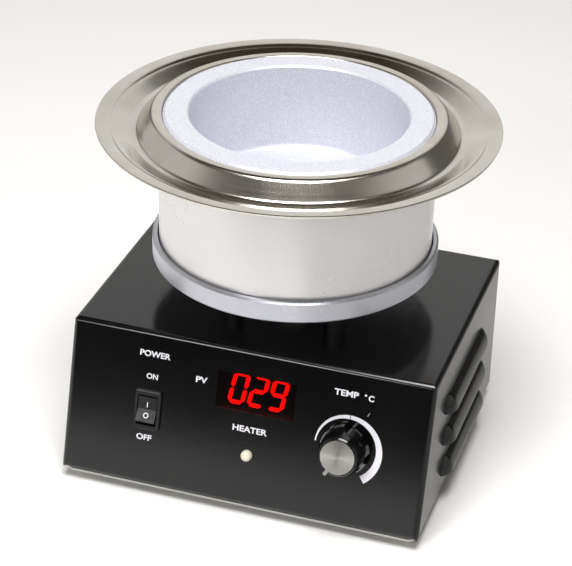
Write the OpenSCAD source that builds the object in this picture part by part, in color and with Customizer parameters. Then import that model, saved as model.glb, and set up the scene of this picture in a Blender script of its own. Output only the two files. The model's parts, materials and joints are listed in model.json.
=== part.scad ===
// Bench solder pot: a round crucible in a spun drip dish, carried on a cylindrical
// heater housing that stands on posts above a sloped-front control case.
// Millimetres, +Z up. The origin lies on the pot's axis, in the plane the feet stand on.
// The front panel faces -Y.

/* [Case] */
// Width of the case across its sides
case_w = 168; // [160:1:200]
// Height of the folded shell
case_h = 70; // [66:1:90]
// Distance from the pot axis forward to the top of the front panel
case_front = 60.5; // [56:0.5:80]
// Distance from the pot axis back to the rear wall
case_rear = 59.5; // [58:0.5:80]
// Lean of the front panel back from upright, in degrees
panel_slope = 15; // [10:0.5:20]
// Thickness of the sheet steel
sheet_t = 1.2; // [1:0.1:1.5]
// Outside radius of the folds
bend_r = 2.6; // [2.2:0.1:4]
// Width of the return flange round the bottom
flange_w = 12; // [10:1:14]
// Radius of the relief holes at the bottom corners
relief_r = 1.5; // [1:0.1:2]

/* [Louvres] */
// Number of louvres on each side
louvre_count = 3; // [1:1:3]
// Length of a louvre's opening
louvre_len = 72; // [50:1:80]
// How far a louvre stands out from the wall
louvre_out = 4; // [3:0.5:5]
// Height of a louvre at the wall
louvre_rise = 8; // [6:0.5:10]
// Distance from one louvre to the next
louvre_pitch = 16.5; // [13:0.5:18]
// Depth of the first opening below the top of the case
louvre_drop = 27; // [20:1:30]

/* [Underside] */
// Height of the feet
foot_h = 4; // [3:0.5:8]
// Diameter of a foot where it meets the plate
foot_d = 14; // [12:1:16]
// Thickness of the bottom plate
plate_t = 1.2; // [1:0.1:2]
// Distance of the feet from the case walls
foot_inset = 20; // [18:1:26]

/* [Pot] */
// Height of the gap between the case and the pot
stand_h = 18.8; // [12:0.2:26]
// Outside radius of the base pan
pan_r = 65; // [64.5:0.5:70]
// Height of the base pan's rim
pan_h = 10; // [7:0.5:14]
// Thickness of the base pan's floor
pan_floor = 3; // [2:0.5:4]
// Outside radius of the heater housing
housing_r = 62; // [61.5:0.1:63.5]
// Wall of the heater housing
housing_t = 1; // [0.8:0.1:1.5]
// Height of the crucible's rim above the case
pot_h = 89; // [84:1:110]

/* [Crucible] */
// Radius of the crucible's mouth
mouth_r = 48.8; // [44:0.2:50]
// Radius of the flat floor of the bowl
floor_r = 46; // [38:0.5:46.5]
// Depth of the bowl
bowl_depth = 40; // [30:1:42]
// Wall of the crucible at its mouth
crucible_wall = 3.2; // [2.5:0.1:3.6]
// Thickness of the crucible's floor
crucible_floor = 5; // [4:0.5:6]
// Thickness of the crucible's rim
rim_t = 4.4; // [3:0.1:6]
// Radius of the crucible's rim
rim_r = 60.4; // [59:0.1:60.4]

/* [Drip dish] */
// Outside radius of the dish
dish_r = 90; // [86:0.5:100]
// Thickness of the spun sheet
dish_t = 1; // [0.8:0.1:1.2]
// Height of the dish's outer flange below the crucible's rim
dish_drop = 4.6; // [3:0.1:8]
// Depth of the trough below the outer flange
trough_depth = 3.7; // [2:0.1:5]
// Width of the flat outer flange
dish_flange = 5.8; // [4:0.1:8]
// Width of the flat collar round the crucible
collar_w = 3.4; // [2.5:0.1:4.5]

/* [Front panel] */
// Rocker switch: sideways place on the panel
switch_u = -44.9; // [-56:0.1:-38]
// Rocker switch: place up the panel
switch_v = 36.3; // [30:0.1:44]
// Width of the switch's bezel
switch_w = 12; // [11:0.5:15]
// Length of the switch's bezel
switch_l = 18.2; // [17:0.2:21]
// Display window: sideways place
window_u = 4.2; // [0:0.1:10]
// Display window: place up the panel
window_v = 52.6; // [48:0.1:56]
// Width of the display window
window_w = 36.4; // [30:0.2:38]
// Height of the display window
window_l = 17.2; // [15:0.2:18]
// Heater lamp: sideways place
lamp_u = 3; // [-4:0.1:10]
// Heater lamp: place up the panel
lamp_v = 24.5; // [18:0.1:30]
// Diameter of the lamp
lamp_d = 5; // [3:0.5:5]
// Temperature knob: sideways place
knob_u = 47.2; // [40:0.1:56]
// Temperature knob: place up the panel
knob_v = 36.9; // [30:0.1:44]

/* [Knob] */
// Largest diameter of the knob's skirt
knob_d = 23; // [20:0.5:26]
// Height of the knob above the panel
knob_h = 13.5; // [12:0.5:18]
// Diameter of the aluminium cap
cap_d = 15.4; // [13:0.2:17]
// Number of flutes round the knob
flute_count = 8; // [6:1:10]
// Diameter of the shaft
shaft_d = 6; // [4:0.1:6]
// Position of the pointer, counter-clockwise from the right, in degrees
pointer_angle = 240; // [200:5:300]

/* [Hidden] */
$fn = 72;

// Clearances
run_gap = 0.05;      // round part turning or sliding in its bore
slip_gap = 0.3;      // parts that lie beside each other
big = 400;           // longer than the whole part

// Levels and planes
shell_z = foot_h + plate_t;                        // underside of the folded shell
top_z = shell_z + case_h;                          // top face of the case
panel_run = case_h * tan(panel_slope);             // how far the panel leans back
front_y = -(case_front + panel_run);               // bottom edge of the front panel
pan_z = top_z + stand_h;                           // underside of the base pan
rim_z = top_z + pot_h;                             // top of the crucible
deck_z = shell_z + sheet_t;                        // inside face of the return flange

// ---- outlines ---------------------------------------------------------------

// Unit vector from a to b
function toward(a, b) = (b - a) / norm(b - a);
// Where a fillet of radius r leaves the corner p on its way to q
function tangent_at(p, a, b, q, r) =
    p + toward(p, q) * r / tan(acos(toward(p, a) * toward(p, b)) / 2);
// Centre of the fillet in the corner p between a and b
function fillet_centre(p, a, b, r) =
    p + toward([0, 0], toward(p, a) + toward(p, b))
        * r / sin(acos(toward(p, a) * toward(p, b)) / 2);

// Convex outline with every corner rounded to r
module rounded_outline(corners, r) {
    n = len(corners);
    polygon([for (i = [0 : n - 1]) for (side = [0, 1])
        let (p = corners[i], a = corners[(i + n - 1) % n], b = corners[(i + 1) % n])
        tangent_at(p, a, b, side == 0 ? a : b, r)]);
    for (i = [0 : n - 1])
        translate(fillet_centre(corners[i], corners[(i + n - 1) % n],
                                corners[(i + 1) % n], r))
            circle(r = r);
}

// Rectangle centred on the origin with rounded corners
module rounded_rect(w, l, r) {
    rounded_outline([[-w / 2, -l / 2], [w / 2, -l / 2], [w / 2, l / 2], [-w / 2, l / 2]], r);
}

// Extrudes an outline drawn in the Y-Z plane along X, centred
module along_x(w) {
    rotate([90, 0, 90]) translate([0, 0, -w / 2]) linear_extrude(w) children();
}

// Moves children into the panel's own frame: X across, Y up the slope, Z outward
module on_panel(u, v) {
    translate([0, front_y, shell_z]) rotate([90 - panel_slope, 0, 0])
        translate([u, v, 0]) children();
}

// Moves children onto the rear wall: X across as seen from behind, Y up, Z outward
module on_rear(x, z) {
    translate([x, case_rear, z]) rotate([90, 0, 180]) children();
}

// Countersunk or pan head screw pointing down its own -Z, head top at z = 0
module pan_screw(shank_d, shank_l, head_d, head_h) {
    translate([0, 0, -head_h]) cylinder(d = head_d, h = head_h);
    translate([0, 0, -head_h - shank_l]) cylinder(d = shank_d, h = shank_l + head_h / 2);
}

// Hexagonal nut standing on z = 0
module hex_nut(flats, h, hole_d) {
    difference() {
        cylinder(d = flats / cos(30), h = h, $fn = 6);
        translate([0, 0, -1]) cylinder(d = hole_d, h = h + 2);
    }
}

// ---- case -------------------------------------------------------------------

// Side view of the case, drawn in from its outside faces by d
module side_outline(d, r) {
    run = d / cos(panel_slope);
    lean = tan(panel_slope);
    rounded_outline([
        [front_y + run + d * lean, shell_z + d],
        [case_rear - d, shell_z + d],
        [case_rear - d, top_z - d],
        [-case_front + run - d * lean, top_z - d]], r);
}

// Closed block of the case, drawn in by d: every long edge is rounded
module case_block(d) {
    r = bend_r - d;
    intersection() {
        along_x(case_w - 2 * d) side_outline(d, r);
        // rounds the top and bottom edges of the sides
        translate([0, big / 2, 0]) rotate([90, 0, 0]) linear_extrude(big)
            translate([0, shell_z + case_h / 2]) rounded_rect(case_w - 2 * d, case_h - 2 * d, r);
        // rounds the upright edges at the rear
        translate([0, case_rear - d - big / 2, shell_z - 10]) linear_extrude(case_h + 20)
            rounded_rect(case_w - 2 * d, big, r);
        // rounds the sloped edges at the front
        on_panel(0, case_h / 2) rotate([90, 0, 0]) translate([0, 0, -big / 2])
            linear_extrude(big) translate([0, -d - big / 2])
                rounded_rect(case_w - 2 * d, big, r);
    }
}

// Louvre hood of radius r, flat underside at the origin, swelling out along +X
module louvre_form(r, sink, thin) {
    half = louvre_len / 2 - sqrt(r * r - sink * sink);
    translate([-sink, 0, 0]) intersection() {
        union() {
            rotate([90, 0, 0]) cylinder(r = r - thin, h = 2 * half, center = true);
            for (end = [-1, 1])
                translate([0, end * half, 0]) sphere(r = r - thin);
        }
        translate([-big / 2, -big / 2, 0]) cube(big);
    }
}

// Radius of the arc that rises louvre_rise at the wall and stands out louvre_out
louvre_r = (louvre_rise * louvre_rise + louvre_out * louvre_out) / (2 * louvre_out);
louvre_sink = louvre_r - louvre_out;
louvre_y = -4;                                     // middle of the louvres

// Puts children at every louvre of one side, that side's wall facing +X
module each_louvre(side) {
    for (i = [0 : louvre_count - 1])
        translate([side * case_w / 2, louvre_y, top_z - louvre_drop - i * louvre_pitch])
            mirror([side < 0 ? 1 : 0, 0, 0]) children();
}

// Posts and bolts that carry the pot
post_count = 3;
post_d = 10;
post_ring_r = 28;
post_bolt_d = 4;
lead_tube_d = 14;
module each_post() {
    for (i = [0 : post_count - 1])
        rotate([0, 0, 90 + i * 360 / post_count]) translate([post_ring_r, 0, 0]) children();
}

// Screws that hold the bottom plate to the flange
plate_screw_d = 3;
plate_screw_y = [-40, 30];
module each_plate_screw() {
    for (x = [-1, 1], y = plate_screw_y)
        translate([x * (case_w / 2 - flange_w / 2 - 0.5), y, 0]) children();
    translate([0, front_y + flange_w / 2 + 1, 0]) children();
    translate([0, case_rear - flange_w / 2 - 0.5, 0]) children();
}

// Cut-out behind the switch's bezel
switch_cut_w = switch_w - 1.6;
switch_cut_l = switch_l - 2.2;

// Rear wall fittings
inlet_x = -45;
inlet_z = shell_z + 34;
inlet_w = 27;
inlet_l = 19.5;
inlet_ear = 20;                                    // mounting hole from the inlet's middle
inlet_screw_d = 3;
fuse_x = 0;
fuse_z = shell_z + 34;
fuse_d = 12;
earth_x = 40;
earth_z = shell_z + 34;
earth_d = 4;

module case_shell() color([0.07, 0.07, 0.08]) {
    difference() {
        union() {
            case_block(0);
            for (side = [-1, 1]) each_louvre(side) louvre_form(louvre_r, louvre_sink, 0);
        }
        // hollow inside, open below inside the return flange
        case_block(sheet_t);
        translate([0, (front_y + case_rear) / 2, shell_z - 1]) linear_extrude(sheet_t + 2)
            rounded_rect(case_w - 2 * flange_w, case_rear - front_y - 2 * flange_w, 4);
        for (side = [-1, 1]) each_louvre(side)
            intersection() {
                louvre_form(louvre_r, louvre_sink, sheet_t);
                translate([-sheet_t - 1, -big / 2, -1]) cube([big, big, big]);
            }
        // relief holes where three folds meet
        for (x = [-1, 1], y = [front_y + bend_r, case_rear - bend_r])
            translate([x * (case_w / 2 - bend_r), y, shell_z - 1]) {
                cylinder(r = relief_r, h = sheet_t + 3);
                rotate([90, 0, y < 0 ? x * 45 : 180 - x * 45])
                    cylinder(r = relief_r, h = bend_r * 2);
            }
        // pot fixings and the passage for the heater leads
        each_post() translate([0, 0, top_z - 5])
            cylinder(d = post_bolt_d + 2 * run_gap, h = 10);
        translate([0, 0, top_z - 5]) cylinder(d = lead_tube_d + 2 * run_gap, h = 10);
        each_plate_screw() translate([0, 0, shell_z - 1])
            cylinder(d = plate_screw_d + 2 * run_gap, h = sheet_t + 2);
        // panel openings
        on_panel(switch_u, switch_v) cube([switch_cut_w, switch_cut_l, 10], center = true);
        on_panel(window_u, window_v) translate([0, 0, -5]) linear_extrude(10)
            rounded_rect(window_w, window_l, 0.6);
        on_panel(lamp_u, lamp_v) translate([0, 0, -5])
            cylinder(d = lamp_d + 2 * run_gap, h = 10);
        on_panel(knob_u, knob_v) translate([0, 0, -5])
            cylinder(d = bush_d + 2 * run_gap, h = 10);
        // rear openings
        on_rear(inlet_x, inlet_z) {
            cube([inlet_w + 2 * slip_gap, inlet_l + 2 * slip_gap, 10], center = true);
            for (x = [-inlet_ear, inlet_ear]) translate([x, 0, -5])
                cylinder(d = inlet_screw_d + 2 * run_gap, h = 10);
        }
        on_rear(fuse_x, fuse_z) translate([0, 0, -5])
            cylinder(d = fuse_d + 2 * run_gap, h = 10);
        on_rear(earth_x, earth_z) translate([0, 0, -5])
            cylinder(d = earth_d + 2 * run_gap, h = 10);
    }
}

// ---- underside --------------------------------------------------------------

plate_inset = 2;                                   // plate edge in from the case walls
module each_foot() {
    for (x = [-1, 1], y = [front_y + foot_inset, case_rear - foot_inset])
        translate([x * (case_w / 2 - foot_inset), y, 0]) children();
}
foot_screw_d = 4;
foot_head_d = 7.4;
foot_head_h = 1.6;
foot_recess = foot_h - 1.4;                        // depth of the head's recess in the foot

module bottom_plate() color([0.62, 0.63, 0.64]) {
    depth = case_rear - front_y;
    difference() {
        translate([0, (front_y + case_rear) / 2, foot_h]) linear_extrude(plate_t)
            rounded_rect(case_w - 2 * plate_inset, depth - 2 * plate_inset, 3);
        each_foot() cylinder(d = foot_screw_d + 2 * run_gap, h = big, center = true);
        each_plate_screw() cylinder(d = plate_screw_d + 2 * run_gap, h = big, center = true);
        each_board_spacer()
            cylinder(d = spacer_stud_d + 2 * run_gap, h = big, center = true);
    }
}

module plate_screws() color([0.75, 0.75, 0.76]) {
    each_plate_screw() translate([0, 0, foot_h]) mirror([0, 0, 1])
        translate([0, 0, 1.8]) pan_screw(plate_screw_d, 5, 5.6, 1.8);
}

module rubber_feet() color([0.12, 0.12, 0.12]) {
    each_foot() difference() {
        cylinder(d1 = foot_d - 1.6, d2 = foot_d, h = foot_h);
        translate([0, 0, -1]) cylinder(d = foot_head_d + 2 * slip_gap, h = foot_recess + 1);
        cylinder(d = foot_screw_d + 2 * run_gap, h = big, center = true);
    }
}

module foot_screws() color([0.75, 0.75, 0.76]) {
    each_foot() translate([0, 0, foot_recess - foot_head_h]) mirror([0, 0, 1])
        pan_screw(foot_screw_d, 5, foot_head_d, foot_head_h);
}

// ---- pot carrier ------------------------------------------------------------

post_nut_h = 3.2;
post_head_h = 2.6;

module support_posts() color([0.6, 0.6, 0.62]) {
    each_post() translate([0, 0, top_z]) difference() {
        cylinder(d = post_d, h = stand_h);
        translate([0, 0, -1]) cylinder(d = post_bolt_d + 2 * run_gap, h = stand_h + 2);
    }
}

module post_bolts() color([0.75, 0.75, 0.76]) {
    shank = sheet_t + stand_h + pan_floor + post_nut_h + 1;
    each_post() translate([0, 0, top_z - sheet_t - post_head_h]) mirror([0, 0, 1])
        pan_screw(post_bolt_d, shank, 7.5, post_head_h);
}

module post_nuts() color([0.75, 0.75, 0.76]) {
    each_post() translate([0, 0, pan_z + pan_floor])
        hex_nut(7, post_nut_h, post_bolt_d + 2 * run_gap);
}

lead_tube_flange_t = 2;
module lead_tube() color([0.8, 0.8, 0.78]) {
    low = top_z - 9;
    high = pan_z + pan_floor + lead_tube_flange_t;
    difference() {
        union() {
            translate([0, 0, low]) cylinder(d = lead_tube_d, h = high - low);
            translate([0, 0, high - lead_tube_flange_t])
                cylinder(d = lead_tube_d + 6, h = lead_tube_flange_t);
        }
        translate([0, 0, low - 1]) cylinder(d = lead_tube_d - 4, h = high - low + 2);
    }
}

module lead_tube_nut() color([0.75, 0.75, 0.76]) {
    translate([0, 0, top_z - sheet_t - 3]) hex_nut(20, 3, lead_tube_d + 2 * run_gap);
}

// ---- pot --------------------------------------------------------------------

pan_groove = 0.7;                                  // gap between pan rim and housing
module base_pan() color([0.78, 0.78, 0.82]) {
    difference() {
        rotate_extrude() polygon([
            [0, pan_z], [pan_r - 1, pan_z], [pan_r, pan_z + 1],
            [pan_r, pan_z + pan_h - 0.8], [pan_r - 0.8, pan_z + pan_h],
            [housing_r + pan_groove, pan_z + pan_h],
            [housing_r + pan_groove, pan_z + pan_floor], [0, pan_z + pan_floor]]);
        each_post() translate([0, 0, pan_z - 1])
            cylinder(d = post_bolt_d + 2 * run_gap, h = pan_floor + 2);
        translate([0, 0, pan_z - 1])
            cylinder(d = lead_tube_d + 2 * run_gap, h = pan_floor + 2);
    }
}

ledge_z = rim_z - rim_t;                           // face the crucible's rim rests on
module heater_housing() color([0.9, 0.9, 0.93]) {
    low = pan_z + pan_floor;
    translate([0, 0, low]) difference() {
        cylinder(r = housing_r, h = ledge_z - dish_t - low);
        translate([0, 0, -1]) cylinder(r = housing_r - housing_t, h = big);
    }
}

// Dish section. Levels are heights of its upper face.
flange_z = rim_z - dish_drop;
trough_z = flange_z - trough_depth;
collar_z = rim_z - 0.3;
collar_r0 = rim_r + slip_gap;                      // wall of the well the crucible sits in
collar_r1 = collar_r0 + dish_t + collar_w;
trough_r0 = collar_r1 + 7;                         // foot of the collar's outer slope
trough_r1 = trough_r0 + 2.4;
step_r = dish_r - dish_flange;
ledge_w = 5;                                       // width of the ledge under the crucible

// Upper face of the dish from the ledge outward
function dish_top() = concat(
    [[collar_r0 - ledge_w, ledge_z], [collar_r0, ledge_z], [collar_r0, collar_z - 0.8],
     [collar_r0 + 0.8, collar_z], [collar_r1 - 1.2, collar_z]],
    arc_points([collar_r1 - 1.2, collar_z - 3], 3, 90, 42, 4),
    arc_points([trough_r0 + 0.9, trough_z + 2.4], 2.4, 222, 270, 4),
    arc_points([trough_r1 - 0.4, trough_z + 3], 3, 275, 290, 2),
    [[step_r - 2.4, flange_z - 0.9], [step_r - 1.2, flange_z - 0.75],
     [step_r, flange_z], [dish_r - 0.5, flange_z + 0.3], [dish_r, flange_z + 0.1]]);

// Points on an arc of radius r round c, from angle a to b
function arc_points(c, r, a, b, n) =
    [for (i = [0 : n]) let (t = a + (b - a) * i / n) c + r * [cos(t), sin(t)]];

// Moves each point of a path square to it by d, towards the underside
function path_normal(p, i) =
    let (a = p[max(i - 1, 0)], b = p[min(i + 1, len(p) - 1)], u = toward(a, b)) [u[1], -u[0]];
function offset_path(p, d) = [for (i = [0 : len(p) - 1]) p[i] + path_normal(p, i) * d];

module drip_dish() color([0.72, 0.7, 0.66]) {
    top = dish_top();
    under = offset_path([for (i = [2 : len(top) - 1]) top[i]], dish_t);
    rotate_extrude() polygon(concat(top,
        [for (i = [len(under) - 1 : -1 : 0]) under[i]],
        [[collar_r0 + dish_t, ledge_z - dish_t], [collar_r0 - ledge_w, ledge_z - dish_t]]));
}

crucible_r = mouth_r + crucible_wall;              // straight outside of the crucible
crucible_z = rim_z - bowl_depth - crucible_floor;
well_d = 4;                                        // blind hole for the thermocouple
well_r = 20;
module crucible() color([0.8, 0.8, 0.84]) {
    difference() {
        rotate_extrude() polygon(concat(
            [[0, crucible_z], [crucible_r - 4, crucible_z], [crucible_r, crucible_z + 4],
             [crucible_r, ledge_z], [rim_r, ledge_z], [rim_r, rim_z - 1.2],
             [rim_r - 1.2, rim_z], [mouth_r + 0.8, rim_z], [mouth_r, rim_z - 0.8]],
            arc_points([floor_r - 2.5, rim_z - bowl_depth + 2.5], 2.5, 0, -90, 4),
            [[0, rim_z - bowl_depth]]));
        translate([well_r, 0, crucible_z - 1]) cylinder(d = well_d, h = crucible_floor - 1);
    }
}

band_t = 3;
band_h = 26;
band_z = crucible_z + 6;
band_slit = 5;
band_lug = 5;                                      // how far the clamp lugs stand out
module heater_band() color([0.66, 0.66, 0.68]) {
    r0 = crucible_r + run_gap;
    difference() {
        union() {
            translate([0, 0, band_z]) cylinder(r = r0 + band_t, h = band_h);
            for (side = [-1, 1])
                translate([side * (band_slit / 2 + 0.75) - 0.75, r0 + band_t - 1, band_z + 8])
                    cube([1.5, band_lug + 1, 10]);
        }
        translate([0, 0, band_z - 1]) cylinder(r = r0, h = band_h + 2);
        translate([-band_slit / 2, 0, band_z - 1]) cube([band_slit, r0 + 10, band_h + 2]);
        translate([0, r0 + band_t + band_lug / 2, band_z + 13]) rotate([0, 90, 0])
            cylinder(d = 3 + 2 * run_gap, h = 20, center = true);
    }
}

module band_bolt() color([0.75, 0.75, 0.76]) {
    lug_face = band_slit / 2 + 1.5;
    translate([0, crucible_r + run_gap + band_t + band_lug / 2, band_z + 13]) rotate([0, 90, 0]) {
        translate([0, 0, -lug_face - 2]) cylinder(d = 4.8, h = 2);
        translate([0, 0, -lug_face - 1]) cylinder(d = 3, h = 2 * lug_face + 3);
        translate([0, 0, lug_face]) cylinder(d = 4.8 / cos(30), h = 2.2, $fn = 6);
    }
}

sleeve_r0 = crucible_r + run_gap + band_t + slip_gap;
module insulation_sleeve() color([0.93, 0.92, 0.88]) {
    low = pan_z + pan_floor;
    difference() {
        translate([0, 0, low])
            cylinder(r = housing_r - housing_t - slip_gap, h = band_z + band_h - low);
        translate([0, 0, low - 1]) cylinder(r = sleeve_r0, h = big);
        // window for the clamp lugs
        translate([-9, 0, band_z + 4]) cube([18, big, big]);
    }
}

module insulation_disc() color([0.93, 0.92, 0.88]) {
    low = pan_z + pan_floor;
    high = crucible_z;
    difference() {
        translate([0, 0, low]) cylinder(r = sleeve_r0 - slip_gap, h = high - low);
        each_post() translate([0, 0, low - 1]) cylinder(d = 9, h = post_nut_h + 3);
        translate([0, 0, low - 1]) cylinder(d = lead_tube_d + 8, h = lead_tube_flange_t + 6);
        translate([0, 0, low - 1]) cylinder(d = lead_tube_d - 4, h = big);
        // slot that takes the thermocouple from the lead tube to its well
        translate([0, -2.5, low - 1]) cube([well_r + 2.5, 5, high - low + 2]);
    }
}

probe_d = 3;
module thermocouple() color([0.7, 0.7, 0.72]) {
    // sheathed probe: tip in the crucible's well, tail bent towards the lead tube
    bend = pan_z + pan_floor + 10;
    translate([well_r, 0, bend]) cylinder(d = probe_d, h = crucible_z + 2.8 - bend);
    translate([well_r, 0, bend]) sphere(d = probe_d);
    translate([0, 0, bend]) rotate([0, 90, 0]) cylinder(d = probe_d, h = well_r);
    translate([0, 0, bend]) sphere(d = probe_d);
    translate([0, 0, top_z - 12]) cylinder(d = probe_d, h = bend - top_z + 12);
}

// ---- electronics ------------------------------------------------------------

board_w = 100;
board_l = 62;
board_t = 1.6;
board_y = 6;
board_margin = 5;                                  // spacers in from the board's edges
spacer_h = 8;
spacer_d = 6;
spacer_stud_d = 3;
barb_out = 0.8;                                    // how far the studs' barbs stand out
board_z = shell_z + spacer_h;                      // spacers stand on the bottom plate
on_board_z = board_z + board_t;
module each_board_spacer() {
    for (x = [-1, 1], y = [-1, 1])
        translate([x * (board_w / 2 - board_margin),
                   board_y + y * (board_l / 2 - board_margin), 0]) children();
}

module control_board() color([0.1, 0.38, 0.2]) {
    difference() {
        translate([-board_w / 2, board_y - board_l / 2, board_z])
            cube([board_w, board_l, board_t]);
        each_board_spacer()
            cylinder(d = spacer_stud_d + 2 * run_gap, h = big, center = true);
    }
}

// Moulded pillars with a plain stud below and a barbed stud above
module board_spacers() color([0.85, 0.84, 0.8]) {
    stud_r = spacer_stud_d / 2;
    barb_z = on_board_z + 0.6;
    each_board_spacer() rotate_extrude() polygon([
        [0, shell_z - plate_t], [stud_r, shell_z - plate_t], [stud_r, shell_z],
        [spacer_d / 2, shell_z], [spacer_d / 2, board_z],
        [stud_r, board_z], [stud_r, on_board_z],
        [stud_r + barb_out, barb_z], [stud_r - 0.5, barb_z + 1.6], [0, barb_z + 1.6]]);
}

core = [32, 26, 27];                               // transformer's lamination stack
core_at = [-26, 14];
bobbin = [18, 5, 19];                              // bobbin's overhang at each end
bobbin_lift = 4;
module transformer() color([0.25, 0.25, 0.27]) {
    translate([core_at[0], core_at[1], on_board_z]) {
        translate([-core[0] / 2, -core[1] / 2, 0]) cube(core);
        for (side = [-1, 1])
            translate([-bobbin[0] / 2, side * (core[1] + bobbin[1]) / 2 - bobbin[1] / 2,
                       bobbin_lift])
                cube(bobbin);
    }
}

sink_at = [30, 14];                                // front face of the heat sink's web
sink_w = 32;
sink_web = 3;
sink_h = 26;
fin_count = 6;
fin_l = 11;
fin_t = 1.4;
tab_hole_d = 3.2;
tab_hole_z = 16.5;
module heat_sink() color([0.7, 0.71, 0.73]) {
    translate([sink_at[0], sink_at[1], on_board_z]) {
        difference() {
            translate([-sink_w / 2, 0, 0]) cube([sink_w, sink_web, sink_h]);
            translate([0, sink_web + 1, tab_hole_z]) rotate([90, 0, 0])
                cylinder(d = tab_hole_d, h = sink_web + 2);
        }
        for (i = [0 : fin_count - 1])
            translate([-sink_w / 2 + i * (sink_w - fin_t) / (fin_count - 1), sink_web - 0.5, 0])
                cube([fin_t, fin_l + 0.5, sink_h]);
    }
}

triac_w = 10;
triac_t = 4.5;
tab_t = 1.3;
body_z = 4;                                        // moulded body above the board
body_h = 9;
lead_pitch = 2.5;
module triac() color([0.15, 0.15, 0.16]) {
    translate([sink_at[0], sink_at[1], on_board_z]) {
        translate([-triac_w / 2, -triac_t, body_z]) cube([triac_w, triac_t, body_h]);
        difference() {
            translate([-triac_w / 2, -tab_t, body_z + body_h])
                cube([triac_w, tab_t, 2 * (tab_hole_z - body_z - body_h)]);
            translate([0, 1, tab_hole_z]) rotate([90, 0, 0])
                cylinder(d = tab_hole_d, h = tab_t + 2);
        }
        for (x = [-lead_pitch, 0, lead_pitch])
            translate([x - 0.4, -2.6, 0]) cube([0.8, 0.6, body_z + 0.5]);
    }
}

module filter_capacitor() color([0.15, 0.2, 0.35]) {
    translate([-2, -6, on_board_z]) cylinder(d = 13, h = 20);
    translate([16, -6, on_board_z]) cylinder(d = 10, h = 16);
}

ways = 5;                                          // terminals in the block
way_pitch = 7.6;
block = [ways * way_pitch, 9.5, 11];
block_at = [-21, -24];                             // front edge, faces the panel
module terminal_block() color([0.1, 0.35, 0.2]) {
    translate([block_at[0] - block[0] / 2, block_at[1], on_board_z]) difference() {
        cube(block);
        for (i = [0 : ways - 1]) translate([(i + 0.5) * way_pitch, 0, 0]) {
            // clamp screw above, wire entry in front
            translate([0, 5, 5]) cylinder(d = 4, h = block[2]);
            translate([-2, -1, 1.5]) cube([4, 6.5, 4]);
        }
    }
}

// Board behind the panel, in the panel's own frame
panel_back = -sheet_t;
front_board_gap = 11;                              // panel back face to board face
front_w = 96;
front_l = 48;
front_u = 14;
front_v = 40;
front_margin = 4;                                  // spacers in from the board's edges
front_spacer_d = 5;
front_stud_d = 3;
front_face = panel_back - front_board_gap;         // board face towards the panel
module each_front_spacer() {
    for (x = [-1, 1], y = [-1, 1])
        translate([front_u + x * (front_w / 2 - front_margin),
                   front_v + y * (front_l / 2 - front_margin), 0]) children();
}

module front_board() color([0.1, 0.38, 0.2]) {
    on_panel(0, 0) difference() {
        translate([front_u - front_w / 2, front_v - front_l / 2, front_face - board_t])
            cube([front_w, front_l, board_t]);
        each_front_spacer()
            cylinder(d = front_stud_d + 2 * run_gap, h = big, center = true);
    }
}

module front_spacers() color([0.75, 0.75, 0.76]) {
    nut_h = 2.4;
    on_panel(0, 0) each_front_spacer() {
        translate([0, 0, front_face]) cylinder(d = front_spacer_d, h = front_board_gap);
        translate([0, 0, front_face - board_t - nut_h - 0.6])
            cylinder(d = front_stud_d, h = board_t + nut_h + 1.6);
        translate([0, 0, front_face - board_t - nut_h])
            cylinder(d = 5.5 / cos(30), h = nut_h, $fn = 6);
    }
}

lens_t = 2;                                        // thickness of the window behind the panel
lens_lip = 1.6;
module display_window() color([0.45, 0.03, 0.05]) {
    on_panel(window_u, window_v) {
        translate([0, 0, panel_back - lens_t]) linear_extrude(lens_t)
            rounded_rect(window_w + 2 * lens_lip, window_l + 2 * lens_lip, 1);
        translate([0, 0, panel_back - 0.5]) linear_extrude(sheet_t + 0.5 - 0.2)
            rounded_rect(window_w - 2 * run_gap, window_l - 2 * run_gap, 0.55);
    }
}

module display_module() color([0.2, 0.2, 0.21]) {
    depth = front_board_gap - lens_t - slip_gap;
    on_panel(window_u, window_v) translate([0, 0, front_face + depth / 2])
        cube([window_w + 1.2, window_l + 1.4, depth], center = true);
}

module heater_lamp() color([0.85, 0.85, 0.82]) {
    on_panel(lamp_u, lamp_v) {
        translate([0, 0, 1]) sphere(d = lamp_d);
        translate([0, 0, panel_back - 1]) cylinder(d = lamp_d, h = 2 + sheet_t);
        translate([0, 0, panel_back - 2]) cylinder(d = lamp_d + 0.9, h = 1.8);
        for (x = [-1, 1]) translate([x * 1.27, 0, front_face])
            cylinder(d = 0.6, h = front_board_gap - 1.5, $fn = 16);
    }
}

// ---- temperature control ----------------------------------------------------

bush_d = 7;
bush_l = 8;                                        // bushing length in front of the body
pot_body_d = 16;
pot_body_l = front_board_gap - 2;
shaft_foot = panel_back - pot_body_l + 3.3;        // lower end of the shaft in the body
module potentiometer() color([0.45, 0.45, 0.47]) {
    on_panel(knob_u, knob_v) difference() {
        union() {
            translate([0, 0, panel_back - pot_body_l]) cylinder(d = pot_body_d, h = pot_body_l);
            translate([0, 0, panel_back - 1]) cylinder(d = bush_d, h = bush_l + 1);
            for (x = [-5, 0, 5])
                translate([x - 0.6, -pot_body_d / 2 - 1, front_face]) cube([1.2, 2.6, 3.2]);
        }
        // shaft bore and the groove that keeps the shaft's collar
        translate([0, 0, shaft_foot - 0.3]) cylinder(d = shaft_d + 2 * run_gap, h = big);
        translate([0, 0, shaft_foot - 0.3]) cylinder(d = shaft_d + 4, h = 2.2);
    }
}

pot_nut_t = 2;
module pot_nut() color([0.78, 0.78, 0.79]) {
    on_panel(knob_u, knob_v) hex_nut(10, pot_nut_t, bush_d + 2 * run_gap);
}

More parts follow.
